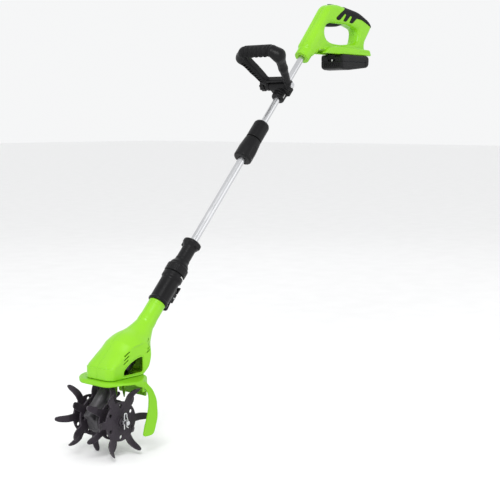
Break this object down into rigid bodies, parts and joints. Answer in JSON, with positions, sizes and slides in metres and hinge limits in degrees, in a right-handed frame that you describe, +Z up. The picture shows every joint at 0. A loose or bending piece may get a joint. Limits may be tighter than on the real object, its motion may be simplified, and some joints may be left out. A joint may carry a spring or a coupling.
{
  "type": "mini cultivator",
  "caption": "Hand-held battery cultivator: worm-driven tine wheels under a guard, telescopic pole, sliding assist handle and rear handle with slide-on battery.",
  "frame": {"origin": "on the ground below the middle of the whole tool in its working posture", "axes": "+Z up, +X from the tines towards the user along the pole, Y along the tine axle"},
  "size_m": [1.0886, 0.17, 1.0417],
  "materials": {
    "green_shell": "semi-gloss moulded lime green",
    "black_plastic": "fine-textured black nylon",
    "soft_grip": "over-moulded soft black rubber",
    "tube": "satin anodised silver",
    "tine_steel": "dark powder coat, worn at the edges",
    "bright_steel": "zinc-plated",
    "motor_steel": "black painted can",
    "gear_case": "glass-filled black nylon",
    "bronze": "sintered bronze",
    "cell_wrap": "shrink sleeve"
  },
  "bodies": {
    "rear_handle": {"handle_left": "green_shell", "handle_right": "green_shell", "handle_grip": "soft_grip", "trigger_pin": "bright_steel", "trigger_spring": "bright_steel", "lock_spring": "bright_steel", "power_switch": "black_plastic", "terminal_block": "black_plastic", "handle_screws": "bright_steel", "upper_tube": "tube", "tube_bush": "black_plastic"},
    "trigger": {"trigger": "black_plastic"},
    "lock_button": {"lock_button": "black_plastic"},
    "battery": {"battery_base": "black_plastic", "battery_cover": "black_plastic", "battery_cells": "cell_wrap", "latch_spring": "bright_steel"},
    "battery_latch": {"battery_latch": "black_plastic"},
    "clamp": {"clamp_front": "black_plastic", "clamp_rear": "black_plastic", "clamp_screws": "bright_steel", "pivot_bolt": "bright_steel"},
    "assist_handle": {"assist_loop": "black_plastic", "assist_grip": "soft_grip"},
    "knob": {"clamp_knob": "black_plastic"},
    "lower_pole": {"lower_tube": "tube", "lock_body": "black_plastic", "lock_collet": "black_plastic", "tube_cable": "black_plastic", "coupling_upper": "black_plastic", "swivel_clip": "bright_steel"},
    "lock_collar": {"lock_collar": "black_plastic"},
    "head": {"coupling_lower": "black_plastic", "lever_pin": "bright_steel", "lever_spring": "bright_steel", "head_left": "green_shell", "head_right": "green_shell", "head_screws": "bright_steel", "motor_case": "motor_steel", "motor_magnets": "black_plastic", "gearbox_left": "gear_case", "gearbox_right": "gear_case", "gearbox_screws": "bright_steel", "shaft_bushes": "bronze", "axle_bushes": "bronze", "tine_guard": "green_shell", "guard_screws": "bright_steel"},
    "lever": {"coupling_lever": "black_plastic"},
    "rotor": {"motor_rotor": "bright_steel", "motor_fan": "black_plastic", "worm": "bright_steel"},
    "axle": {"axle": "bright_steel", "worm_wheel": "bronze", "tine_wheel_1": "tine_steel", "tine_wheel_2": "tine_steel", "tine_wheel_3": "tine_steel", "tine_wheel_4": "tine_steel", "wheel_clips": "bright_steel"}
  },
  "joints": [
    {"name": "trigger_pull", "type": "hinge", "parent": "rear_handle", "child": "trigger", "pos_m": [0.41409, 0, 0.99422], "axis": [0, 1, 0], "range_deg": [0, 4], "stiffness_Nm_per_rad": 1.2, "deforming": ["trigger_spring"]},
    {"name": "lock_press", "type": "slide", "parent": "rear_handle", "child": "lock_button", "axis": [0, 0, -1], "range_m": [0, 0.0035], "stiffness_N_per_m": 600, "deforming": ["lock_spring"]},
    {"name": "battery_slide", "type": "slide", "parent": "rear_handle", "child": "battery", "axis": [-1, 0, 0], "range_m": [0, 0.075]},
    {"name": "latch_press", "type": "slide", "parent": "battery", "child": "battery_latch", "axis": [0, 0, -1], "range_m": [0, 0.004], "stiffness_N_per_m": 800, "deforming": ["latch_spring"]},
    {"name": "clamp_slide", "type": "slide", "parent": "rear_handle", "child": "clamp", "axis": [0.682, 0, 0.7314], "range_m": [-0.02, 0.07]},
    {"name": "loop_tilt", "type": "hinge", "parent": "clamp", "child": "assist_handle", "pos_m": [0.15113, 0, 0.81893], "axis": [0, 1, 0], "range_deg": [-40, 40]},
    {"name": "knob_turn", "type": "hinge", "parent": "clamp", "child": "knob", "pos_m": [0.15113, 0.05, 0.81893], "axis": [0, 1, 0], "range_deg": [0, 360]},
    {"name": "telescope", "type": "slide", "parent": "rear_handle", "child": "lower_pole", "axis": [0.682, 0, 0.7314], "range_m": [-0.12, 0.06]},
    {"name": "collar_twist", "type": "hinge", "parent": "lower_pole", "child": "lock_collar", "pos_m": [0.06609, 0, 0.70134], "axis": [0.682, 0, 0.7314], "range_deg": [0, 90]},
    {"name": "head_swivel", "type": "hinge", "parent": "lower_pole", "child": "head", "pos_m": [-0.25172, 0, 0.36053], "axis": [0.682, 0, 0.7314], "range_deg": [-90, 90]},
    {"name": "lever_press", "type": "hinge", "parent": "head", "child": "lever", "pos_m": [-0.25102, 0, 0.32022], "axis": [0, -1, 0], "range_deg": [0, 8], "stiffness_Nm_per_rad": 2},
    {"name": "axle_spin", "type": "hinge", "parent": "head", "child": "axle", "pos_m": [-0.46409, 0, 0.08], "axis": [0, 1, 0], "continuous": true},
    {"name": "rotor_spin", "type": "hinge", "parent": "head", "child": "rotor", "pos_m": [-0.49042, 0, 0.10455], "axis": [0.682, 0, 0.7314], "continuous": true}
  ],
  "couplings": [
    {"joint": "rotor_spin", "follows": "axle_spin", "ratio": -30}
  ]
}
